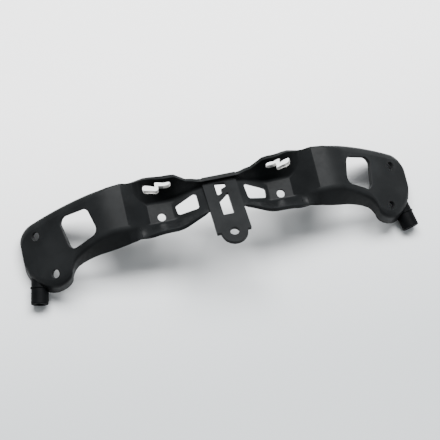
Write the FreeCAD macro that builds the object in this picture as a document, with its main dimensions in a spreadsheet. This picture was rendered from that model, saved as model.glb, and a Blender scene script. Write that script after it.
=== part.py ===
"""Fairing stay: a pressed steel cross-piece with two welded collars, lying as it rests on a table.

X runs along the stay, Y across it and Z up from the table. Millimetres.
"""
import FreeCAD, Part
import math
import os

# Driving dimensions, each written once
SIZES = {
    # Sheet and its folds
    "sheet": 3.2,
    "bend_radius": 3.0,
    "flange_depth": 16.0,
    # Wing: crown, sweep and tip
    "crown_inner_x": 80.0,
    "crown_start_x": 86.0,
    "crown_height": 53.5,
    "crown_radius": 40.0,
    "wing_sweep": 31.0,
    "tip_x": 166.5,
    "tip_corner_radius": 11.0,
    "tip_corner_y": 4.0,
    # Wing: upper and lower edge
    "wing_top_y": 43.0,
    "wing_top_radius": 262.0,
    "wing_bottom_y": 6.1,
    "wing_bottom_radius": 67.0,
    "lobe_half_width": 14.0,
    "lobe_depth": 10.0,
    "lobe_fillet": 2.4,
    "flare_at_crown": 12.0,
    "flare_at_lobe": 2.5,
    "top_draft": 1.0,
    # Pocket: recessed web, ceiling and floor
    "web_height": 36.4,
    "web_inner_x": 41.0,
    "web_outer_x": 60.5,
    "web_top_y": 26.5,
    "web_bottom_y": 8.8,
    "pocket_front_height": 53.5,
    "pocket_floor_y": -1.2,
    "floor_turn_start_x": 48.0,
    "floor_turn_end_x": 100.0,
    "ear_height": 62.0,
    "ear_y": 38.6,
    "ear_inner_x": 39.0,
    "ear_outer_x": 46.0,
    "ear_slope_length": 14.0,
    "ceiling_inner_y": 32.4,
    "ceiling_dip_y": 34.8,
    "ceiling_lip": 5.0,
    # Centre strip and tab
    "strip_width": 28.0,
    "strip_tilt": 22.8,
    "strip_top_y": 32.7,
    "strip_middle_height": 61.0,
    "strip_step": 2.0,
    "strip_lap": 1.0,
    "strip_bottom_y": 6.0,
    "tab_shoulder_y": -15.3,
    "tab_end_radius": 10.8,
    "tab_hole_y": -15.5,
    "tab_hole_diameter": 7.2,
    "cutout_width": 8.8,
    "hook_top_y": 30.4,
    "hook_bottom_y": 18.2,
    "hook_tongue_y": 22.0,
    "hook_tongue_width": 3.6,
    "hook_tongue_lean": 0.4,
    "hook_top_fall": 1.0,
    "slot_top_y": 20.2,
    "slot_slant": 6.7,
    "slot_bottom_y": 0.2,
    "hook_corner": 1.1,
    "slot_corner": 0.6,
    # Pierced holes
    "bolt_hole_diameter": 7.0,
    "upper_bolt_x": 153.0,
    "upper_bolt_y": 22.1,
    "lower_bolt_x": 143.2,
    "lower_bolt_y": -12.6,
    "web_hole_diameter": 6.7,
    "web_hole_x": 50.4,
    "web_hole_y": 13.7,
    "window_inner_x": 107.0,
    "window_outer_x": 130.4,
    "window_slant": 5.4,
    "window_top_y": 31.6,
    "window_top_fall": 1.0,
    "window_inner_bottom_y": 9.2,
    "window_outer_bottom_y": 1.2,
    "window_corner": 6.0,
    "fin_inner_x": 19.9,
    "fin_outer_x": 38.0,
    "fin_top_y": 26.8,
    "fin_bottom_y": 12.0,
    "fin_inner_lean": 0.5,
    "fin_outer_lean": 1.0,
    "fin_outer_rise": 8.0,
    "fin_corner": 2.2,
    "clip_slot_x": 51.0,
    "clip_slot_y": 33.5,
    "clip_lobe_length": 12.6,
    "clip_lobe_width": 7.0,
    "clip_lobe_step": 6.0,
    "clip_lobe_corner": 2.6,
    "clip_link_width": 3.0,
    "clip_link_corner": 0.3,
    # Collars
    "collar_diameter": 14.3,
    "collar_bore": 6.6,
    "collar_length": 22.0,
    "collar_x": 160.3,
    "collar_end_y": -31.3,
    "collar_splay": 11.5,
    "weld_gap": 0.1,
}

# Steps of the drawn surface, and how far the cutters reach
STATION_STEP = 5.0
SLOPE_STEP = 0.2
ARC_STEPS = 3
LEAST_TANGENT = 0.2
LARGEST_SHARE = 0.45
STEEPEST = 2.3
TIP_ROUNDING = 0.3
LOBE_SHARES = (1.4, 1.2, 1.1, 1.0, 0.97, 0.9, 0.8, 0.6, 0.3)
LOBE_RISE = 2.0
TIP_CORNER_POWER = 1.7
TIP_SHARES = (1.0, 0.8, 0.6, 0.4, 0.25, 0.1)
HOLE_REACH = 20.0
CUT_REACH = 60.0

doc = FreeCAD.newDocument("fairing_stay")
sheet_table = doc.addObject("Spreadsheet::Sheet", "sizes")
for row, (alias, value) in enumerate(SIZES.items(), start=1):
    sheet_table.set(f"A{row}", alias)
    sheet_table.set(f"B{row}", str(value))
    sheet_table.setAlias(f"B{row}", alias)
doc.recompute()


def size(alias):
    """Value of one driving dimension from the sheet."""
    return float(getattr(sheet_table, alias))


def blend(x, start, end, from_value, to_value):
    """Smooth change from one value to another while x runs from start to end."""
    share = min(1.0, max(0.0, (x - start) / (end - start)))
    share = share * share * (3.0 - 2.0 * share)
    return from_value + (to_value - from_value) * share


def strip_height(y):
    """Height of the tilted centre strip's front face at y."""
    return size("strip_middle_height") - math.tan(math.radians(size("strip_tilt"))) * y


def wing_height(x):
    """Front face of the wing: a rolled crown and then a straight sweep to the tip."""
    sweep = math.radians(size("wing_sweep"))
    radius = size("crown_radius")
    along = max(0.0, x - size("crown_start_x"))
    arc_length = radius * math.sin(sweep)
    if along <= arc_length:
        return size("crown_height") - radius + math.sqrt(radius ** 2 - along ** 2)
    arc_drop = radius * (1.0 - math.cos(sweep))
    return size("crown_height") - arc_drop - (along - arc_length) * math.tan(sweep)


def wall_heights(x):
    """Front face of the sheet at its upper and lower crease."""
    if x >= size("crown_inner_x"):
        return wing_height(x), wing_height(x)
    if x >= size("web_inner_x"):
        share = max(0.0, (x - size("web_outer_x")) / (size("crown_inner_x") - size("web_outer_x")))
        height = size("web_height") + (size("crown_height") - size("web_height")) * share
        return height, height
    share = (size("web_inner_x") - x) / (size("web_inner_x") - size("strip_width") / 2.0)
    rim_top = strip_height(size("ceiling_inner_y")) - size("strip_step")
    rim_bottom = strip_height(size("strip_bottom_y")) - size("strip_step")
    web = size("web_height")
    return web + (rim_top - web) * share, web + (rim_bottom - web) * share


def wing_top(x):
    """Upper edge of the wing, a long arc with a round corner at the tip."""
    along = max(0.0, x - size("crown_start_x"))
    radius = size("wing_top_radius")
    edge = size("wing_top_y") - radius + math.sqrt(radius ** 2 - along ** 2)
    corner = size("tip_corner_radius")
    past = max(0.0, x - (size("tip_x") - corner))
    return edge - corner + math.sqrt(max(0.0, corner ** 2 - min(past, corner) ** 2))


def tip_corner(share):
    """Lower edge of the tip at a share of the way from the lower bolt to the tip's end."""
    depth = size("tip_corner_y") - size("lower_bolt_y") + size("lobe_depth")
    return size("tip_corner_y") - depth * (1.0 - share ** TIP_CORNER_POWER) ** (1.0 / TIP_CORNER_POWER)


def wing_bottom(x):
    """Lower crease of the wing: a long arc, the lobe round the lower bolt and the tip's rounded corner."""
    inward = size("lower_bolt_x") - x
    if inward <= 0.0:
        return tip_corner(min(1.0, -inward / (size("tip_x") - size("lower_bolt_x"))))
    along = max(0.0, x - size("crown_start_x"))
    edge = size("wing_bottom_y") - along ** 2 / (2.0 * size("wing_bottom_radius"))
    edge = max(edge, size("lower_bolt_y"))
    width = size("lobe_half_width")
    lobe = size("lower_bolt_y") + LOBE_RISE * max(0.0, inward - width)
    lobe -= size("lobe_depth") * math.sqrt(max(0.0, 1.0 - (inward / width) ** 2))
    return (edge + lobe) / 2.0 - math.hypot((edge - lobe) / 2.0, size("lobe_fillet") / 2.0)


def creases(x):
    """Y of the upper and lower crease of the sheet."""
    if x >= size("crown_inner_x"):
        return wing_top(x), wing_bottom(x)
    if x >= size("web_outer_x"):
        span = size("web_outer_x"), size("crown_inner_x")
        top = blend(x, *span, size("web_top_y"), size("wing_top_y"))
        return top, blend(x, *span, size("web_bottom_y"), size("wing_bottom_y"))
    span = size("strip_width") / 2.0, size("web_inner_x")
    top = blend(x, *span, size("strip_top_y") - size("sheet"), size("web_top_y"))
    return top, blend(x, *span, size("strip_bottom_y") + size("sheet"), size("web_bottom_y"))


def top_edge(x):
    """Outer edge (y, z) of the upper fold: the pocket's ceiling and ear, then the wing's back flange."""
    crease_y = creases(x)[0]
    wall = wall_heights(x)[0]
    crown = size("crown_start_x")
    if x >= crown:
        depth = blend(x, crown, crown + size("flange_depth"), size("bend_radius"), size("flange_depth"))
        return crease_y + size("top_draft"), max(0.0, wall - depth)
    inner = size("ear_inner_x")
    rise = size("ear_slope_length")
    if x < inner:
        ear = blend(x, inner - rise, inner, 0.0, 1.0)
        half_width = size("strip_width") / 2.0
        side = blend(x, half_width, inner - rise, size("ceiling_inner_y"), size("ceiling_dip_y"))
        level = blend(x, half_width, inner, ceiling_start_height(), size("pocket_front_height"))
    else:
        ear = blend(x, size("ear_outer_x"), size("ear_outer_x") + rise, 1.0, 0.0)
        side = size("wing_top_y")
        level = size("pocket_front_height")
    front_y = side + (size("ear_y") - side) * ear
    front_z = level + (size("ear_height") - level) * ear
    turn = blend(x, size("crown_inner_x") - size("bend_radius"), crown, 0.0, 1.0)
    back_y = size("wing_top_y") + size("top_draft")
    back_z = wall - size("bend_radius") * turn
    fade = blend(x, size("ear_outer_x") + rise, size("crown_inner_x"), 0.0, 1.0)
    return front_y + (back_y - front_y) * fade, front_z + (back_z - front_z) * fade


def ceiling_start_height():
    """Front edge of the ceiling where it passes over the centre strip."""
    return strip_height(size("strip_top_y")) + size("ceiling_lip")


def bottom_edge(x):
    """Outer edge (y, z) of the lower fold: the pocket's floor, then the wing's back flange."""
    half_width = size("strip_width") / 2.0
    web_inner = size("web_inner_x")
    floor_y = blend(x, half_width, web_inner, size("strip_bottom_y"), size("pocket_floor_y"))
    strip_rim = strip_height(size("strip_bottom_y")) - size("strip_step")
    floor_z = blend(x, half_width, web_inner, strip_rim, size("pocket_front_height"))
    wing = size("crown_start_x"), size("lower_bolt_x")
    flare = blend(x, *wing, size("flare_at_crown"), size("flare_at_lobe"))
    wing_y = creases(x)[1] - flare
    wing_z = max(0.0, wall_heights(x)[1] - size("flange_depth"))
    turn = blend(x, size("floor_turn_start_x"), size("floor_turn_end_x"), 0.0, 1.0)
    return floor_y + (wing_y - floor_y) * turn, floor_z + (wing_z - floor_z) * turn


def slope(function, x):
    """Slope of a function of x."""
    return (function(x + SLOPE_STEP) - function(x - SLOPE_STEP)) / (2.0 * SLOPE_STEP)


def back_normal(start, end):
    """Unit normal on the back of a run from start to end."""
    dy = end[0] - start[0]
    dz = end[1] - start[1]
    length = math.hypot(dy, dz)
    return -dz / length, dy / length


def offset_line(points, depths):
    """Points of an open line moved to its back by the depth of each run, along the corners' bisectors."""
    normals = [back_normal(start, end) for start, end in zip(points, points[1:])]
    befores = [normals[0], *normals]
    afters = [*normals, normals[-1]]
    moved = []
    for index, (point, before, after) in enumerate(zip(points, befores, afters)):
        depth = (depths[max(0, index - 1)] + depths[min(index, len(depths) - 1)]) / 2.0
        bisector = before[0] + after[0], before[1] + after[1]
        reach = 2.0 * depth / (bisector[0] ** 2 + bisector[1] ** 2)
        moved.append((point[0] + bisector[0] * reach, point[1] + bisector[1] * reach))
    return moved


def rounded(points, radii):
    """Line with its inner corners replaced by round turns of ARC_STEPS chords."""
    result = [points[0]]
    for before, corner, after, radius in zip(points, points[1:], points[2:], radii):
        to_before = (before[0] - corner[0], before[1] - corner[1])
        to_after = (after[0] - corner[0], after[1] - corner[1])
        length = min(math.hypot(*to_before), math.hypot(*to_after))
        unit_b = [value / math.hypot(*to_before) for value in to_before]
        unit_a = [value / math.hypot(*to_after) for value in to_after]
        cosine = unit_b[0] * unit_a[0] + unit_b[1] * unit_a[1]
        half = math.acos(max(-1.0, min(1.0, cosine))) / 2.0
        tangent = min(max(radius / math.tan(half), LEAST_TANGENT), LARGEST_SHARE * length)
        for index in range(ARC_STEPS + 1):
            share = index / ARC_STEPS
            weights = ((1.0 - share) ** 2 * tangent, share ** 2 * tangent)
            result.append((corner[0] + unit_b[0] * weights[0] + unit_a[0] * weights[1],
                           corner[1] + unit_b[1] * weights[0] + unit_a[1] * weights[1]))
    result.append(points[-1])
    return result


def section_wire(x, points):
    """Closed wire of (y, z) points at x."""
    corners = [FreeCAD.Vector(x, y, z) for y, z in points]
    return Part.makePolygon(corners + corners[:1])


def sheet_section(x):
    """Section of the sheet at x: upper fold, wall and lower fold."""
    heights = wall_heights(x)
    top, bottom = creases(x)
    front = [top_edge(x), (top, heights[0]), (bottom, heights[1]), bottom_edge(x)]
    wall_depth = size("sheet") * math.hypot(1.0, slope(lambda value: wall_heights(value)[0], x))
    lower_slope = min(STEEPEST, abs(slope(lambda value: creases(value)[1], x)))
    back = offset_line(front, [size("sheet"), wall_depth, size("sheet") * math.hypot(1.0, lower_slope)])
    inside = size("bend_radius")
    outside = inside + size("sheet")
    folds_back = [front[0][1] < front[1][1], front[3][1] < front[2][1]]
    front_radii = [outside if fold else inside for fold in folds_back]
    back_radii = [inside if fold else outside for fold in folds_back]
    return section_wire(x, rounded(front, front_radii) + rounded(back, back_radii)[::-1])


def stations(start, end, breaks):
    """Evenly spread places from start to end, with each break among them."""
    marks = sorted({start, end, *[mark for mark in breaks if start < mark < end]})
    places = [start]
    for low, high in zip(marks, marks[1:]):
        count = max(1, math.ceil((high - low) / STATION_STEP))
        places += [low + (high - low) * (index + 1) / count for index in range(count)]
    return places


def loft(sections):
    """Solid through the sections, with straight rulings."""
    return Part.makeLoft(sections, True, True)


def rounded_face(points, radius):
    """Flat face on XY with the given corners, each rounded by the radius."""
    corners = [FreeCAD.Vector(x, y, 0.0) for x, y in points]
    edges = []
    last_end = None
    first_start = None
    for before, corner, after in zip(corners[-1:] + corners[:-1], corners, corners[1:] + corners[:1]):
        towards_before = (before - corner).normalize()
        towards_after = (after - corner).normalize()
        half_angle = towards_before.getAngle(towards_after) / 2.0
        tangent = radius / math.tan(half_angle)
        start = corner + towards_before * tangent
        end = corner + towards_after * tangent
        centre = corner + (towards_before + towards_after).normalize() * (radius / math.sin(half_angle))
        middle = centre + (corner - centre).normalize() * radius
        if last_end is None:
            first_start = start
        else:
            edges.append(Part.LineSegment(last_end, start).toShape())
        edges.append(Part.Arc(start, middle, end).toShape())
        last_end = end
    edges.append(Part.LineSegment(last_end, first_start).toShape())
    return Part.Face(Part.Wire(edges))


def prism(points, radius, placement):
    """Cutter through the sheet: a rounded outline drawn out to both sides of its placement."""
    face = rounded_face(points, radius)
    face.translate(FreeCAD.Vector(0.0, 0.0, -CUT_REACH / 2.0))
    solid = face.extrude(FreeCAD.Vector(0.0, 0.0, CUT_REACH))
    solid.Placement = placement
    return solid


def add_shape(name, shape):
    """Document object that holds a shape made from the sheet's sizes."""
    feature = doc.addObject("Part::Feature", name)
    feature.Shape = shape
    return feature


def add_cylinder(name, radius_expression, height, placement):
    """Cylinder whose radius is bound to the sheet and whose axis runs both ways from its placement."""
    cylinder = doc.addObject("Part::Cylinder", name)
    cylinder.setExpression("Radius", radius_expression)
    cylinder.Height = height
    foot = FreeCAD.Placement(FreeCAD.Vector(0.0, 0.0, -height / 2.0), FreeCAD.Rotation())
    cylinder.Placement = placement * foot
    return cylinder


def add_fuse(name, members):
    """Union of document objects."""
    fuse = doc.addObject("Part::MultiFuse", name)
    fuse.Shapes = members
    return fuse


def add_cut(name, base, tool):
    """Base less tool."""
    cut = doc.addObject("Part::Cut", name)
    cut.Base = base
    cut.Tool = tool
    return cut


def add_mirror(name, source):
    """Copy on the other side of the middle plane."""
    mirror = doc.addObject("Part::Mirroring", name)
    mirror.Source = source
    mirror.Normal = FreeCAD.Vector(1.0, 0.0, 0.0)
    return mirror


def turned(x, y, z, axis, angle):
    """Placement at a point, turned about an axis by an angle in degrees."""
    return FreeCAD.Placement(FreeCAD.Vector(x, y, z), FreeCAD.Rotation(FreeCAD.Vector(*axis), angle))


def tip_outline(x):
    """Whole cross-section of the tip, for its end wall."""
    top, bottom = creases(x)
    wall = wing_height(x)
    inner = (top, wall), (bottom, wall)
    outside = size("bend_radius") + size("sheet")
    return section_wire(x, rounded([top_edge(x), *inner, bottom_edge(x)], [outside, outside]))


def strip_placement():
    """Placement of the centre strip's front face, tilted about X."""
    return turned(0.0, 0.0, strip_height(0.0), (1.0, 0.0, 0.0), -size("strip_tilt"))


def along_strip(y):
    """Distance along the tilted strip to the point that lies over y."""
    return y / math.cos(math.radians(size("strip_tilt")))


def on_strip(y):
    """Placement on the strip's front face at the point of its middle line that lies over y."""
    return strip_placement() * FreeCAD.Placement(FreeCAD.Vector(0.0, along_strip(y), 0.0), FreeCAD.Rotation())


def collar_placement(side):
    """Middle of a collar, its axis splayed outwards: side is 1 on the right and -1 on the left."""
    splay = math.radians(size("collar_splay"))
    axis = FreeCAD.Vector(side * math.sin(splay), -math.cos(splay), 0.0)
    end = FreeCAD.Vector(side * size("collar_x"), size("collar_end_y"), size("collar_diameter") / 2.0)
    middle = end - axis * (size("collar_length") / 2.0)
    return FreeCAD.Placement(middle, FreeCAD.Rotation(FreeCAD.Vector(0.0, 0.0, 1.0), axis))


# Half of the drawn sheet, with the wall that closes its tip
half_strip = size("strip_width") / 2.0
bend_places = [size(name) for name in ("web_inner_x", "web_outer_x", "crown_inner_x", "crown_start_x")]
lobe_places = [size("lower_bolt_x") - size("lobe_half_width") * share for share in LOBE_SHARES]
tip_places = [size("tip_x") - size("tip_corner_radius") * share for share in TIP_SHARES]
sheet_end = size("tip_x") - TIP_ROUNDING
sheet_places = stations(half_strip - size("strip_lap"), sheet_end, bend_places + lobe_places + tip_places)
drawn_sheet = loft([sheet_section(x) for x in sheet_places])


tip_wall = loft([tip_outline(size("tip_x") - size("sheet")), tip_outline(sheet_end)])
half_blank = add_shape("half_blank", drawn_sheet.fuse(tip_wall))

# Holes of one half
sweep = size("wing_sweep")
cutters = []
for name in ("upper_bolt", "lower_bolt"):
    x = size(name + "_x")
    seat = turned(x, size(name + "_y"), wing_height(x), (0.0, 1.0, 0.0), sweep)
    cutters.append(add_cylinder(name + "_hole", "sizes.bolt_hole_diameter / 2", HOLE_REACH, seat))
web_seat = turned(size("web_hole_x"), size("web_hole_y"), size("web_height"), (0.0, 0.0, 1.0), 0.0)
cutters.append(add_cylinder("web_hole", "sizes.web_hole_diameter / 2", HOLE_REACH, web_seat))

window_x = (size("window_inner_x") + size("window_outer_x")) / 2.0
half_window = (size("window_outer_x") - size("window_inner_x")) / 2.0 / math.cos(math.radians(sweep))
slant = size("window_slant") / math.cos(math.radians(sweep)) / 2.0
window = [
    (-half_window + slant, size("window_top_y")),
    (half_window + slant, size("window_top_y") - size("window_top_fall")),
    (half_window - slant, size("window_outer_bottom_y")),
    (-half_window - slant, size("window_inner_bottom_y")),
]
window_seat = turned(window_x, 0.0, wing_height(window_x), (0.0, 1.0, 0.0), sweep)
cutters.append(add_shape("window", prism(window, size("window_corner"), window_seat)))

fin = [
    (size("fin_inner_x"), size("fin_top_y")),
    (size("fin_inner_x") + size("fin_inner_lean"), size("fin_bottom_y")),
    (size("fin_outer_x") - size("fin_outer_lean"), size("fin_bottom_y")),
    (size("fin_outer_x"), size("fin_bottom_y") + size("fin_outer_rise")),
]
fin_seat = turned(0.0, 0.0, size("web_height"), (0.0, 0.0, 1.0), 0.0)
cutters.append(add_shape("fin_hole", prism(fin, size("fin_corner"), fin_seat)))

# Clip slot through the ceiling: two lobes side by side, one step apart
rise = size("ear_height") - size("web_height")
run = size("ear_y") - size("web_top_y")
ceiling_lean = math.degrees(math.atan2(rise, run))
slot_z = size("web_height") + (size("clip_slot_y") - size("web_top_y")) * rise / run
slot_seat = turned(size("clip_slot_x"), size("clip_slot_y"), slot_z, (1.0, 0.0, 0.0), ceiling_lean)
lobe = size("clip_lobe_length")
half_lobe = size("clip_lobe_width") / 2.0
half_step = size("clip_lobe_step") / 2.0
bridge = size("clip_link_width") / 2.0
outer_lobe = [(-bridge, -half_step - half_lobe), (lobe - bridge, -half_step - half_lobe),
              (lobe - bridge, -half_step + half_lobe), (-bridge, -half_step + half_lobe)]
inner_lobe = [(bridge - lobe, half_step - half_lobe), (bridge, half_step - half_lobe),
              (bridge, half_step + half_lobe), (bridge - lobe, half_step + half_lobe)]
link = [(-bridge, -half_step), (bridge, -half_step), (bridge, half_step), (-bridge, half_step)]
lobe_corner = size("clip_lobe_corner")
link_corner = size("clip_link_corner")
slot_outlines = [("outer_lobe", outer_lobe, lobe_corner), ("inner_lobe", inner_lobe, lobe_corner)]
slot_outlines.append(("lobe_link", link, link_corner))
for name, outline, radius in slot_outlines:
    cutters.append(add_shape(name, prism(outline, radius, slot_seat)))

# What would lie under the table is trimmed off, so that the tip stands on a flat edge
table = doc.addObject("Part::Box", "table_trim")
table.Length = 2.0 * CUT_REACH
table.Width = 2.0 * CUT_REACH
table.Height = CUT_REACH
table.Placement = turned(size("tip_x") - CUT_REACH, -CUT_REACH, -CUT_REACH, (0.0, 0.0, 1.0), 0.0)
cutters.append(table)

half_holes = add_fuse("half_holes", cutters)
half = add_cut("half", half_blank, half_holes)
other_half = add_mirror("other_half", half)

# Centre strip with its tab, bent over at its top
strip_line = [(size("ceiling_inner_y"), ceiling_start_height())]
strip_line += [(y, strip_height(y)) for y in (size("strip_top_y"), size("tab_shoulder_y"))]
strip_back = offset_line(strip_line, [size("sheet")] * 2)
outside_bend = size("bend_radius") + size("sheet")
strip_front = rounded(strip_line, [size("bend_radius")])
strip_wire = section_wire(-half_strip, strip_front + rounded(strip_back, [outside_bend])[::-1])
strip_run = FreeCAD.Vector(size("strip_width"), 0.0, 0.0)
strip = add_shape("strip", Part.Face(strip_wire).extrude(strip_run))
half_sheet = FreeCAD.Placement(FreeCAD.Vector(0.0, 0.0, -size("sheet") / 2.0), FreeCAD.Rotation())
tab_seat = on_strip(size("tab_hole_y"))
tab_end = add_cylinder("tab_end", "sizes.tab_end_radius", size("sheet"), tab_seat * half_sheet)

# Openings of the strip: a hook-shaped cut-out, a slot with a slanting end and the tab's hole
half_cut = size("cutout_width") / 2.0
tongue = size("hook_tongue_width") / 2.0
tongue_y = size("hook_tongue_y")
hook = [
    (-half_cut, size("hook_bottom_y")),
    (0.0, tongue_y - tongue),
    (-size("hook_tongue_lean"), tongue_y + tongue),
    (half_cut, tongue_y + size("hook_tongue_width")),
    (half_cut, size("hook_top_y") - size("hook_top_fall")),
    (-half_cut, size("hook_top_y")),
]
slot = [
    (-half_cut, size("slot_bottom_y")),
    (half_cut, size("slot_bottom_y")),
    (half_cut, size("slot_top_y")),
    (-half_cut, size("slot_top_y") - size("slot_slant")),
]
strip_holes = [add_cylinder("tab_hole", "sizes.tab_hole_diameter / 2", HOLE_REACH, tab_seat)]
for name, outline in (("hook", hook), ("slot", slot)):
    flat = [(x, along_strip(y)) for x, y in outline]
    cutout = prism(flat, size(name + "_corner"), strip_placement())
    strip_holes.append(add_shape(name + "_cutout", cutout))

# Collars, lying on the table under the outer corners
collars = []
seats = []
for label, side in (("left_collar", -1), ("right_collar", 1)):
    place = collar_placement(side)
    barrel = add_cylinder(label + "_barrel", "sizes.collar_diameter / 2", size("collar_length"), place)
    bore = add_cylinder(label + "_bore", "sizes.collar_bore / 2", 2.0 * size("collar_length"), place)
    collar = add_cut(label, barrel, bore)
    collars.append(collar)
    seats.append(add_cylinder(label + "_seat", "sizes.collar_diameter / 2 + sizes.weld_gap",
                              size("collar_length") + 2.0 * size("weld_gap"), place))

pressing = add_fuse("pressing", [half, other_half, strip, tab_end])
pressed_stay = add_cut("pressed_stay", pressing, add_fuse("stay_cutters", strip_holes + seats))
doc.recompute()

# The origin lies under the middle of the stay's box, on the table
nodes = [pressed_stay, *collars]
boxes = [node.Shape.optimalBoundingBox(False, False) for node in nodes]
middle_y = (min(box.YMin for box in boxes) + max(box.YMax for box in boxes)) / 2.0
for node in nodes:
    node.Placement = FreeCAD.Placement(FreeCAD.Vector(0.0, -middle_y, 0.0), FreeCAD.Rotation())
doc.recompute()

# Check, then write one file per sub-part
for item in doc.Objects:
    if "Invalid" in item.State or "Error" in item.State:
        raise RuntimeError(f"{item.Name} failed: {item.State}")
for node in nodes:
    if node.Shape.isNull() or not node.Shape.isValid():
        raise RuntimeError(f"{node.Label} has no valid shape")
os.makedirs("parts", exist_ok=True)
for node in nodes:
    node.Shape.exportStep(f"parts/{node.Label}.step")
    print(node.Label, len(node.Shape.Solids), round(node.Shape.Volume, 1), round(middle_y, 3))
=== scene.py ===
"""Studio scene of the fairing stay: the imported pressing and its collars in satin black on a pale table.

Lengths are in metres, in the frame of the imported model: X along the stay, Y across it, Z up from the table.
"""

import logging
import math
from dataclasses import dataclass
from enum import Enum
from typing import Any

import bpy
from mathutils import Matrix, Vector


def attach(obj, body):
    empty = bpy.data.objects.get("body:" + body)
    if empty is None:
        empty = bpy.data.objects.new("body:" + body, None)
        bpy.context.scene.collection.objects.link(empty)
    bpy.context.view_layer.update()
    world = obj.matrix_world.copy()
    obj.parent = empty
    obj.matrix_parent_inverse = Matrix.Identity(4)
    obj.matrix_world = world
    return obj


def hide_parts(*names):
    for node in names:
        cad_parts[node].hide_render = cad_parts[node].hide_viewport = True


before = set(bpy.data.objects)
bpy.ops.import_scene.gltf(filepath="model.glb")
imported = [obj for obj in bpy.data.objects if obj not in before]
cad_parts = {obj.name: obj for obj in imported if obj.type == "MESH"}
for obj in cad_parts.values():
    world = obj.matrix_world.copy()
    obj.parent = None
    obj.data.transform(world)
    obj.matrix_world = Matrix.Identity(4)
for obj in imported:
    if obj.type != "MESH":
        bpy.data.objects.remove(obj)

LOG = logging.getLogger("fairing_stay")
BODY = "root"
MILLIMETRE = 0.001

# The part's source moves all nodes by this much towards -Y to centre them, so places from its sizes move too
MIDDLE_Y = 6.288 * MILLIMETRE

Colour = tuple[float, float, float]


class Side(Enum):
    """The two ends of the stay, by the sign of X."""

    LEFT = -1
    RIGHT = 1

    @property
    def word(self) -> str:
        """Name of the side as the nodes spell it, in lower case."""
        return self.name.lower()


class Slot(Enum):
    """Material slots of the record."""

    SHEET = "coated_steel"
    COLLAR = "coated_collar"


class FadeCurve(Enum):
    """How one colour turns into another, by Blender's names."""

    STRAIGHT = "LINEAR"
    EASED = "EASE"


def deselect_all() -> None:
    """Leave no object selected and no edit mode open."""
    if bpy.context.object and bpy.context.object.mode != "OBJECT":
        bpy.ops.object.mode_set(mode="OBJECT")
    bpy.ops.object.select_all(action="DESELECT")


def make_active(piece: bpy.types.Object) -> None:
    """Select one object alone.

    Args:
        piece: The object that the next operators work on.
    """
    deselect_all()
    piece.select_set(True)
    bpy.context.view_layer.objects.active = piece


def apply_modifier(piece: bpy.types.Object, kind: str, **settings: Any) -> None:
    """Add one modifier and apply it.

    Args:
        piece: The object to work on.
        kind: Blender's name of the modifier's type.
        settings: Values of the modifier's properties.
    """
    make_active(piece)
    modifier = piece.modifiers.new(kind.lower(), kind)
    for name, value in settings.items():
        setattr(modifier, name, value)
    bpy.ops.object.modifier_apply(modifier=modifier.name)


def clean_mesh(piece: bpy.types.Object, merge: float, flat_angle: float) -> None:
    """Merge doubled points, join flat neighbours and turn the normals outward.

    Args:
        piece: The object to clean.
        merge: Points nearer than this become one.
        flat_angle: Neighbouring faces that differ by less than this angle become one.
    """
    make_active(piece)
    bpy.ops.object.mode_set(mode="EDIT")
    bpy.ops.mesh.select_all(action="SELECT")
    bpy.ops.mesh.remove_doubles(threshold=merge)
    bpy.ops.mesh.dissolve_limited(angle_limit=flat_angle)
    bpy.ops.mesh.select_all(action="SELECT")
    bpy.ops.mesh.normals_make_consistent(inside=False)
    bpy.ops.object.mode_set(mode="OBJECT")


def ride_with_finish(piece: bpy.types.Object, slot: Slot, material: bpy.types.Material) -> None:
    """Give a piece its material and fix it to the stay.

    Args:
        piece: The finished object.
        slot: Not used.
        material: Material for the whole piece.
    """
    piece.data.materials.clear()
    piece.data.materials.append(material)
    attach(piece, BODY)


def new_material(name: str) -> tuple[bpy.types.Material, bpy.types.NodeTree, bpy.types.Node]:
    """Make a material with a plain shader.

    Args:
        name: Name of the material.

    Returns:
        The material, its node tree and its shader.
    """
    material = bpy.data.materials.new(name)
    material.use_nodes = True
    return material, material.node_tree, material.node_tree.nodes["Principled BSDF"]


def add_noise(tree: bpy.types.NodeTree, scale: float, detail: float) -> bpy.types.NodeSocket:
    """Add a noise on the object's own coordinates.

    Args:
        tree: Node tree of the material.
        scale: Scale of the noise.
        detail: Octaves of the noise.

    Returns:
        The noise's value.
    """
    place = tree.nodes.new("ShaderNodeTexCoord")
    noise = tree.nodes.new("ShaderNodeTexNoise")
    noise.inputs["Scale"].default_value = scale
    noise.inputs["Detail"].default_value = detail
    tree.links.new(place.outputs["Object"], noise.inputs["Vector"])
    return noise.outputs["Fac"]


def add_spread(
    tree: bpy.types.NodeTree,
    value: bpy.types.NodeSocket,
    source: tuple[float, float],
    target: tuple[float, float],
) -> bpy.types.NodeSocket:
    """Spread a value from one range to another.

    Args:
        tree: Node tree of the material or the world.
        value: The value to spread.
        source: Lowest and highest value that is read.
        target: What these two become.

    Returns:
        The spread value.
    """
    spread = tree.nodes.new("ShaderNodeMapRange")
    spread.inputs["From Min"].default_value, spread.inputs["From Max"].default_value = source
    spread.inputs["To Min"].default_value, spread.inputs["To Max"].default_value = target
    tree.links.new(value, spread.inputs["Value"])
    return spread.outputs["Result"]


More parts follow.
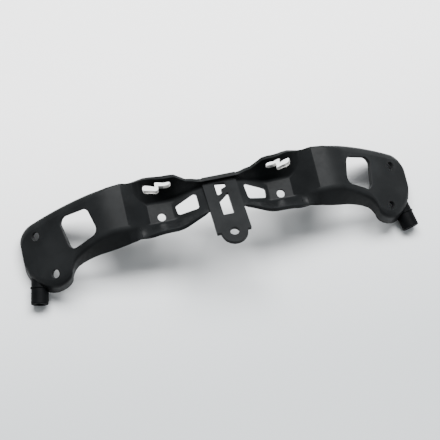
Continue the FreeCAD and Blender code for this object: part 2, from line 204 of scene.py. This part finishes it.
@dataclass(frozen=True)
class ColourFade:
    """Two colours, and where along a value the one starts to turn into the other and ends.

    Attributes:
        first: Colour at the low end.
        last: Colour at the high end.
        start: Value where the first colour ends.
        end: Value where the last colour begins.
        curve: How the one turns into the other in between.
    """

    first: Colour
    last: Colour
    start: float = 0.0
    end: float = 1.0
    curve: FadeCurve = FadeCurve.STRAIGHT

    def link(
        self,
        tree: bpy.types.NodeTree,
        value: bpy.types.NodeSocket,
        target: bpy.types.NodeSocket,
    ) -> None:
        """Colour a socket by a value.

        Args:
            tree: Node tree of the material.
            value: The value that picks the colour.
            target: Socket that takes the colour.
        """
        ramp = tree.nodes.new("ShaderNodeValToRGB")
        ramp.color_ramp.interpolation = self.curve.value
        low, high = ramp.color_ramp.elements
        low.position, high.position = self.start, self.end
        low.color, high.color = (*self.first, 1.0), (*self.last, 1.0)
        tree.links.new(value, ramp.inputs["Fac"])
        tree.links.new(ramp.outputs["Color"], target)


@dataclass(frozen=True)
class SatinCoat:
    """Baked black coat on steel: near-black, satin, with a fine peel and a few duller patches.

    Attributes:
        name: Name of the material.
        patches: Colours of the duller and the cleaner patches.
        roughness: Lowest and highest roughness.
        gloss: Strength of the coat's reflections.
        patch_scale: Scale of the patches.
        patch_detail: Octaves of the patches.
        grain_scale: Scale of the grain in the roughness.
        grain_detail: Octaves of the grain.
        grain_range: Part of the grain's noise that is spread over the roughness.
        peel_scale: Scale of the coat's peel.
        peel_detail: Octaves of the peel.
        peel_depth: Height of the peel in metres.
        peel_strength: Strength of the peel.
    """

    name: str
    patches: ColourFade
    roughness: tuple[float, float]
    gloss: float
    patch_scale: float = 38.0
    patch_detail: float = 5.0
    grain_scale: float = 420.0
    grain_detail: float = 3.0
    grain_range: tuple[float, float] = (0.3, 0.7)
    peel_scale: float = 900.0
    peel_detail: float = 2.0
    peel_depth: float = 0.04 * MILLIMETRE
    peel_strength: float = 0.35

    def build(self) -> bpy.types.Material:
        """Make the material.

        Returns:
            The new material.
        """
        material, tree, shader = new_material(self.name)
        shader.inputs["Specular IOR Level"].default_value = self.gloss
        patch = add_noise(tree, self.patch_scale, self.patch_detail)
        self.patches.link(tree, patch, shader.inputs["Base Color"])
        grain = add_noise(tree, self.grain_scale, self.grain_detail)
        tree.links.new(add_spread(tree, grain, self.grain_range, self.roughness), shader.inputs["Roughness"])
        bump = tree.nodes.new("ShaderNodeBump")
        bump.inputs["Strength"].default_value = self.peel_strength
        bump.inputs["Distance"].default_value = self.peel_depth
        tree.links.new(add_noise(tree, self.peel_scale, self.peel_detail), bump.inputs["Height"])
        tree.links.new(bump.outputs["Normal"], shader.inputs["Normal"])
        return material


@dataclass(frozen=True)
class WornEdgeAndHighlight:
    """Steel that shows through the coat on the cut edges of the clip slots; its pale grey is also a painted
    highlight for the light that falls on the slots' walls.

    Attributes:
        name: Name of the material.
        wear_and_highlight: Colours where some coat is left and where the steel is bare; the bare steel's pale
            grey is partly a painted highlight.
        metal: How metallic the edge is.
        roughness: Roughness of the steel.
        wear_scale: Scale of the noise that spreads the bare steel.
        wear_detail: Octaves of that noise.
    """

    name: str
    wear_and_highlight: ColourFade
    metal: float = 0.85
    roughness: float = 0.42
    wear_scale: float = 160.0
    wear_detail: float = 4.0

    def build(self) -> bpy.types.Material:
        """Make the material.

        Returns:
            The new material.
        """
        material, tree, shader = new_material(self.name)
        shader.inputs["Metallic"].default_value = self.metal
        shader.inputs["Roughness"].default_value = self.roughness
        # Pale bare steel on the slot walls: partly coat rubbed through, partly a painted highlight for the
        # light on these walls
        self.wear_and_highlight.link(tree, add_noise(tree, self.wear_scale, self.wear_detail), shader.inputs["Base Color"])
        return material


@dataclass(frozen=True)
class TableTop:
    """Pale, slightly cool table whose colour darkens towards its near side: painted shade for the light from
    behind the stay, which falls off towards the front.

    Attributes:
        name: Name of the material.
        shade: Colours at the near and the far side; the darker near colour is painted shade.
        reach: Y of the near and the far side of the fade.
        roughness: Roughness of the table.
        gloss: Strength of the table's reflections.
    """

    name: str
    shade: ColourFade
    reach: tuple[float, float] = (-0.16, 0.16)
    roughness: float = 0.6
    gloss: float = 0.2

    def build(self) -> bpy.types.Material:
        """Make the material.

        Returns:
            The new material.
        """
        material, tree, shader = new_material(self.name)
        shader.inputs["Roughness"].default_value = self.roughness
        shader.inputs["Specular IOR Level"].default_value = self.gloss
        place = tree.nodes.new("ShaderNodeTexCoord")
        parts = tree.nodes.new("ShaderNodeSeparateXYZ")
        tree.links.new(place.outputs["Object"], parts.inputs["Vector"])
        across = add_spread(tree, parts.outputs["Y"], self.reach, (0.0, 1.0))
        # Painted shade: the table's colour darkens towards its near side
        self.shade.link(tree, across, shader.inputs["Base Color"])
        return material


@dataclass
class CoatedPiece:
    """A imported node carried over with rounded, smoothly shaded edges under its coat.

    Attributes:
        node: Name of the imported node.
        slot: Slot of the record.
        edge_round: Radius of the rounded edges.
        least_edge: Edges that end at a corner with a shorter edge than this stay sharp.
        sharp_angle: Edges that bend by more than this angle are rounded.
        round_steps: Faces across a rounded edge.
        flat_area: Faces larger than this are plain flats and are shaded flat.
        flat_angle: Neighbouring faces that differ by less than this angle become one.
        smooth_angle: Edges that bend by less than this angle are shaded smooth.
        flat_weight: Hold that large faces have on the shading of their corners.
        merge: Points nearer than this become one.
        stray: Corners farther than this from the node are folded into a neighbour.
    """

    node: str
    slot: Slot
    edge_round: float
    least_edge: float
    sharp_angle: float = math.radians(50.0)
    round_steps: int = 2
    flat_area: float = 600.0 * MILLIMETRE ** 2
    flat_angle: float = math.radians(0.5)
    smooth_angle: float = math.radians(40.0)
    flat_weight: int = 80
    merge: float = 0.002 * MILLIMETRE
    stray: float = 0.2 * MILLIMETRE

    def build(self, material: bpy.types.Material) -> bpy.types.Object:
        """Copy the node's shape, round its edges and let it stand for the node.

        Args:
            material: Coat of the piece.

        Returns:
            The new piece.
        """
        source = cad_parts[self.node]
        piece = bpy.data.objects.new(f"coated_{self.node}", source.data.copy())
        bpy.context.scene.collection.objects.link(piece)
        clean_mesh(piece, self.merge, self.flat_angle)
        self._mark_round_edges(piece)
        apply_modifier(
            piece,
            "BEVEL",
            width=self.edge_round,
            segments=self.round_steps,
            limit_method="WEIGHT",
            use_clamp_overlap=False,
            harden_normals=False,
        )
        self._fold_strays(piece, source)
        self._shade(piece)
        ride_with_finish(piece, self.slot, material)
        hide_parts(self.node)
        return piece

    def _mark_round_edges(self, piece: bpy.types.Object) -> None:
        """Mark the sharp edges that have room for the rounding.

        Args:
            piece: The cleaned copy of the node.
        """
        make_active(piece)
        bpy.ops.object.mode_set(mode="EDIT")
        bpy.ops.mesh.select_mode(type="EDGE")
        bpy.ops.mesh.select_all(action="DESELECT")
        bpy.ops.mesh.edges_select_sharp(sharpness=self.sharp_angle)
        bpy.ops.object.mode_set(mode="OBJECT")
        mesh = piece.data
        room = [math.inf] * len(mesh.vertices)
        for edge in mesh.edges:
            first, second = edge.vertices
            length = (mesh.vertices[first].co - mesh.vertices[second].co).length
            room[first] = min(room[first], length)
            room[second] = min(room[second], length)
        weights = mesh.attributes.new("bevel_weight_edge", "FLOAT", "EDGE")
        for edge in mesh.edges:
            fits = min(room[corner] for corner in edge.vertices) > self.least_edge
            weights.data[edge.index].value = float(edge.select and fits)

    def _fold_strays(self, piece: bpy.types.Object, source: bpy.types.Object) -> None:
        """Fold corners that the rounding threw off the node into a neighbour, and drop faces of no area.

        Args:
            piece: The rounded piece.
            source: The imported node.
        """
        corners = piece.data.vertices
        strays: dict[int, list[int]] = {}
        for vertex in corners:
            _, place, _, _ = source.closest_point_on_mesh(vertex.co)
            if (place - vertex.co).length > self.stray:
                strays[vertex.index] = []
        for edge in piece.data.edges:
            for here, there in (edge.vertices, reversed(edge.vertices)):
                if here in strays and there not in strays:
                    strays[here].append(there)
        for index, neighbours in strays.items():
            if neighbours:
                nearest = min(neighbours, key=lambda other: (corners[other].co - corners[index].co).length)
                corners[index].co = corners[nearest].co
        make_active(piece)
        bpy.ops.object.mode_set(mode="EDIT")
        bpy.ops.mesh.select_all(action="SELECT")
        bpy.ops.mesh.dissolve_degenerate(threshold=self.merge)
        bpy.ops.object.mode_set(mode="OBJECT")

    def _shade(self, piece: bpy.types.Object) -> None:
        """Shade the bends smooth and the large flats flat.

        Args:
            piece: The rounded piece.
        """
        make_active(piece)
        bpy.ops.object.shade_smooth_by_angle(angle=self.smooth_angle)
        for face in piece.data.polygons:
            face.use_smooth = face.area < self.flat_area
        apply_modifier(
            piece,
            "WEIGHTED_NORMAL",
            mode="FACE_AREA_WITH_ANGLE",
            weight=self.flat_weight,
            keep_sharp=True,
        )


@dataclass(frozen=True)
class ClipSlot:
    """Place of the two clip slots in the pocket ceilings, for the bare steel on their edges, which is partly
    rubbed-through coat and partly a painted highlight.

    Attributes:
        middle: Middle of the right slot.
        lean: Lean of the ceiling from the table.
        lobe_reach: Distance of each lobe's middle from the slot's middle, along the stay.
        lobe_rise: Distance of each lobe's middle from the slot's middle, along the ceiling.
        half_length: Half of a lobe's length along the stay, with a margin.
        half_height: Half of a lobe's height along the ceiling, with a margin.
        depth: How far the curved ceiling may lie from its tangent plane.
        wall_lean: Largest lean of a wall's normal towards the ceiling's, as a cosine.
    """

    middle: Vector
    lean: float
    lobe_reach: float
    lobe_rise: float
    half_length: float
    half_height: float
    depth: float
    wall_lean: float = 0.35

    def holds(self, face: bpy.types.MeshPolygon) -> bool:
        """Tell whether a face is part of a slot's cut edge.

        Args:
            face: A face of the pressing.

        Returns:
            True on the inner walls of a slot.
        """
        offset = Vector((abs(face.center.x), face.center.y, face.center.z)) - self.middle
        up = Vector((0.0, math.cos(self.lean), math.sin(self.lean)))
        out = Vector((0.0, -math.sin(self.lean), math.cos(self.lean)))
        in_lobe = any(
            abs(offset.x - way * self.lobe_reach) < self.half_length
            and abs(offset.dot(up) + way * self.lobe_rise) < self.half_height
            for way in (-1, 1)
        )
        near_sheet = abs(offset.dot(out)) < self.depth
        return in_lobe and near_sheet and abs(face.normal.dot(out)) < self.wall_lean

    def wear_and_highlight(self, stay: bpy.types.Object, material: bpy.types.Material) -> int:
        """Give the slots' inner walls the bare steel finish, whose pale grey is partly a painted highlight
        for the light on these walls.

        Args:
            stay: The coated pressing.
            material: Bare steel finish of the slot walls, partly a painted highlight.

        Returns:
            How many faces took it.
        """
        stay.data.materials.append(material)
        worn_and_highlighted = [face for face in stay.data.polygons if self.holds(face)]
        for face in worn_and_highlighted:
            face.material_index = len(stay.data.materials) - 1
        return len(worn_and_highlighted)


@dataclass
class WeldBead:
    """Weld round a collar where it leaves the sheet.

    Attributes:
        side: End of the stay.
        reach: Distance of the bead from the collar's outer end.
        collar_end: Middle of the right collar's outer end face.
        splay: Angle of the collar's axis away from the stay's cross direction.
        collar_radius: Outer radius of the collar.
        bead_radius: Thickness of the bead.
        ripples: Height, waves and phase of each ripple in the bead's thickness.
        ring_steps: Faces round the collar.
        bead_steps: Faces round the bead's section.
        table_gap: Least height over the table.
    """

    side: Side
    reach: float
    collar_end: Vector
    splay: float
    collar_radius: float
    bead_radius: float
    ripples: tuple[tuple[float, float, float], ...] = ((0.1, 22.0, 0.0), (0.06, 5.0, 1.0))
    ring_steps: int = 96
    bead_steps: int = 14
    table_gap: float = 0.1 * MILLIMETRE

    def build(self, material: bpy.types.Material) -> bpy.types.Object:
        """Make the bead as a rippled ring on the collar.

        Args:
            material: Coat of the bead.

        Returns:
            The new piece.
        """
        axis = Vector((self.side.value * math.sin(self.splay), -math.cos(self.splay), 0.0))
        end = Vector((self.side.value * self.collar_end.x, self.collar_end.y, self.collar_end.z))
        centre = end - axis * self.reach
        deselect_all()
        bpy.ops.mesh.primitive_torus_add(
            major_radius=self.collar_radius,
            minor_radius=self.bead_radius,
            major_segments=self.ring_steps,
            minor_segments=self.bead_steps,
        )
        piece = bpy.context.object
        piece.name = f"{self.side.word}_weld"
        for vertex in piece.data.vertices:
            turn = math.atan2(vertex.co.y, vertex.co.x)
            spine = Vector((math.cos(turn), math.sin(turn), 0.0)) * self.collar_radius
            swell = 1.0
            for height, waves, phase in self.ripples:
                swell += height * math.sin(waves * turn + phase)
            vertex.co = spine + (vertex.co - spine) * swell
        piece.data.transform(Matrix.Translation(centre) @ axis.to_track_quat("Z", "Y").to_matrix().to_4x4())
        for vertex in piece.data.vertices:
            vertex.co.z = max(vertex.co.z, self.table_gap)
        bpy.ops.object.shade_smooth()
        ride_with_finish(piece, Slot.COLLAR, material)
        return piece


@dataclass(frozen=True)
class PhotoCamera:
    """Camera at the photograph's angle.

    Attributes:
        aim: Point in the middle of the picture.
        distance: Distance of the camera from it.
        pitch: Lean of the picture's vertical in the stay's YZ plane.
        tilt_share: Share of the view that comes from the stay's left end.
        roll: Turn of the picture.
        lens: Focal length in millimetres.
        sensor: Width of the sensor in millimetres.
        nearest: Nearest distance that the camera sees.
    """

    aim: Vector
    distance: float
    pitch: float
    tilt_share: float
    roll: float
    lens: float
    sensor: float = 36.0
    nearest: float = 0.01

    def axes(self) -> tuple[Vector, Vector, Vector]:
        """Directions of the picture.

        Returns:
            Right, up and the direction towards the camera.
        """
        across = Vector((0.0, math.cos(self.pitch), math.sin(self.pitch)))
        front = Vector((0.0, -math.sin(self.pitch), math.cos(self.pitch)))
        along = Vector((1.0, 0.0, 0.0))
        share = math.sqrt(1.0 - self.tilt_share ** 2)
        level = along * share + front * self.tilt_share
        right = level * math.cos(self.roll) - across * math.sin(self.roll)
        up = level * math.sin(self.roll) + across * math.cos(self.roll)
        return right, up, front * share - along * self.tilt_share

    def build(self) -> None:
        """Set the camera up and look through it."""
        right, up, towards = self.axes()
        camera = bpy.data.objects.new("camera", bpy.data.cameras.new("camera"))
        bpy.context.scene.collection.objects.link(camera)
        turn = Matrix((right, up, towards)).transposed().to_4x4()
        camera.matrix_world = Matrix.Translation(self.aim + towards * self.distance) @ turn
        camera.data.lens = self.lens
        camera.data.sensor_width = self.sensor
        camera.data.clip_start = self.nearest
        bpy.context.scene.camera = camera


@dataclass(frozen=True)
class KeyLight:
    """Soft light above and behind the stay.

    Attributes:
        behind: Level distance behind the aim point, as the picture shows it.
        above: Height over the aim point.
        width: Width of its face.
        height: Height of its face.
        power: Power in watts.
    """

    behind: float
    above: float
    width: float
    height: float
    power: float

    def build(self, camera: PhotoCamera) -> None:
        """Hang the light so that it faces the camera's aim point.

        Args:
            camera: Camera whose picture the light lies behind.
        """
        _, up, _ = camera.axes()
        away = Vector((up.x, up.y, 0.0)).normalized()
        place = away * self.behind + Vector((0.0, 0.0, self.above))
        light = bpy.data.lights.new("key", "AREA")
        light.shape = "RECTANGLE"
        light.size = self.width
        light.size_y = self.height
        light.energy = self.power
        lamp = bpy.data.objects.new("key", light)
        bpy.context.scene.collection.objects.link(lamp)
        turn = place.to_track_quat("Z", "Y").to_matrix().to_4x4()
        lamp.matrix_world = Matrix.Translation(camera.aim + place) @ turn


@dataclass(frozen=True)
class Dome:
    """Even light all round that fades away from one side.

    Attributes:
        brightest: Direction of the dome's brightest side.
        strength: Brightness on the dim and on the bright side.
        fade: Cosines to the brightest direction between which the brightness grows.
        colour: Colour of the light.
    """

    brightest: Vector
    strength: tuple[float, float]
    fade: tuple[float, float] = (0.0, 0.9)
    colour: Colour = (0.96, 0.985, 1.0)

    def build(self) -> None:
        """Surround the stay with the dome."""
        world = bpy.data.worlds.new("dome")
        world.use_nodes = True
        tree = world.node_tree
        place = tree.nodes.new("ShaderNodeTexCoord")
        facing = tree.nodes.new("ShaderNodeVectorMath")
        facing.operation = "DOT_PRODUCT"
        facing.inputs[1].default_value = self.brightest.normalized()
        tree.links.new(place.outputs["Generated"], facing.inputs[0])
        background = tree.nodes["Background"]
        background.inputs["Color"].default_value = (*self.colour, 1.0)
        glow = add_spread(tree, facing.outputs["Value"], self.fade, self.strength)
        tree.links.new(glow, background.inputs["Strength"])
        bpy.context.scene.world = world


@dataclass(frozen=True)
class Studio:
    """Camera, table and lights.

    Attributes:
        camera: Camera at the photograph's angle.
        key: Light that casts the shadow.
        dome: Light all round.
        table_size: Length of the table's sides.
    """

    camera: PhotoCamera
    key: KeyLight
    dome: Dome
    table_size: float = 6.0

    def build(self, table_finish: bpy.types.Material) -> None:
        """Set up the whole studio.

        Args:
            table_finish: Finish of the table.
        """
        self.camera.build()
        deselect_all()
        bpy.ops.mesh.primitive_plane_add(size=self.table_size, location=(0.0, 0.0, 0.0))
        table = bpy.context.object
        table.name = "table"
        table.data.materials.append(table_finish)
        self.key.build(self.camera)
        self.dome.build()


def main() -> None:
    """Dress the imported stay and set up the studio."""
    logging.basicConfig(level=logging.INFO, format="%(message)s")
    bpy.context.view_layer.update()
    sheet_coat = SatinCoat(
        name="satin_black_sheet",
        patches=ColourFade((0.0065, 0.0071, 0.0075), (0.0110, 0.0119, 0.0125), start=0.35, end=0.68),
        roughness=(0.36, 0.48),
        gloss=0.06,
    ).build()
    # The collars and welds get a darker copy of the sheet's coat: painted shade, for the shade the collars
    # lie in under the wing tips
    collar_coat = SatinCoat(
        name="satin_black_collar",
        patches=ColourFade((0.0020, 0.0022, 0.0025), (0.0042, 0.0045, 0.0050), start=0.35, end=0.68),
        roughness=(0.42, 0.58),
        gloss=0.03,
    ).build()
    # The table's darker near side is painted shade for the light falling off towards the front
    table_finish = TableTop(
        name="pale_table",
        shade=ColourFade((0.58, 0.61, 0.625), (0.96, 0.962, 0.965), curve=FadeCurve.EASED),
    ).build()
    stay = CoatedPiece(
        node="pressed_stay",
        slot=Slot.SHEET,
        edge_round=0.3 * MILLIMETRE,
        least_edge=0.15 * MILLIMETRE,
    ).build(sheet_coat)
    LOG.info("pressed stay: %d faces", len(stay.data.polygons))
    # Bare steel on the clip slots' walls; its pale grey is partly a painted highlight for the light on these
    # walls
    worn_edge_and_highlight = WornEdgeAndHighlight(
        name="worn_slot_edge_and_highlight",
        wear_and_highlight=ColourFade((0.10, 0.10, 0.10), (0.46, 0.45, 0.43), start=0.38, end=0.60),
    ).build()
    slots = ClipSlot(
        middle=Vector((51.0 * MILLIMETRE, 33.5 * MILLIMETRE - MIDDLE_Y, 51.2 * MILLIMETRE)),
        lean=math.radians(64.7),
        lobe_reach=4.8 * MILLIMETRE,
        lobe_rise=3.0 * MILLIMETRE,
        half_length=6.6 * MILLIMETRE,
        half_height=3.9 * MILLIMETRE,
        depth=12.0 * MILLIMETRE,
    )
    LOG.info("worn slot edges: %d faces", slots.wear_and_highlight(stay, worn_edge_and_highlight))
    collar_radius = 7.15 * MILLIMETRE
    for side in Side:
        collar = CoatedPiece(
            node=f"{side.word}_collar",
            slot=Slot.COLLAR,
            edge_round=0.6 * MILLIMETRE,
            least_edge=0.1 * MILLIMETRE,
        ).build(collar_coat)
        LOG.info("%s: %d faces", collar.name, len(collar.data.polygons))
        bead = WeldBead(
            side=side,
            reach=13.5 * MILLIMETRE,
            collar_end=Vector((160.3 * MILLIMETRE, -31.3 * MILLIMETRE - MIDDLE_Y, collar_radius)),
            splay=math.radians(11.5),
            collar_radius=collar_radius,
            bead_radius=0.8 * MILLIMETRE,
        ).build(collar_coat)
        LOG.info("%s: %d faces", bead.name, len(bead.data.polygons))
    studio = Studio(
        camera=PhotoCamera(
            aim=Vector((-5.68 * MILLIMETRE, 0.19 * MILLIMETRE - MIDDLE_Y, 44.1 * MILLIMETRE)),
            distance=972.0 * MILLIMETRE,
            pitch=math.radians(12.0),
            tilt_share=0.16,
            roll=math.radians(11.42),
            lens=98.18,
        ),
        key=KeyLight(behind=0.62, above=1.10, width=1.3, height=0.5, power=58.0),
        dome=Dome(brightest=Vector((0.22, 0.60, 0.77)), strength=(0.06, 0.95)),
    )
    studio.build(table_finish)
    LOG.info("studio: camera, table and light")


if __name__ == "__main__":
    main()
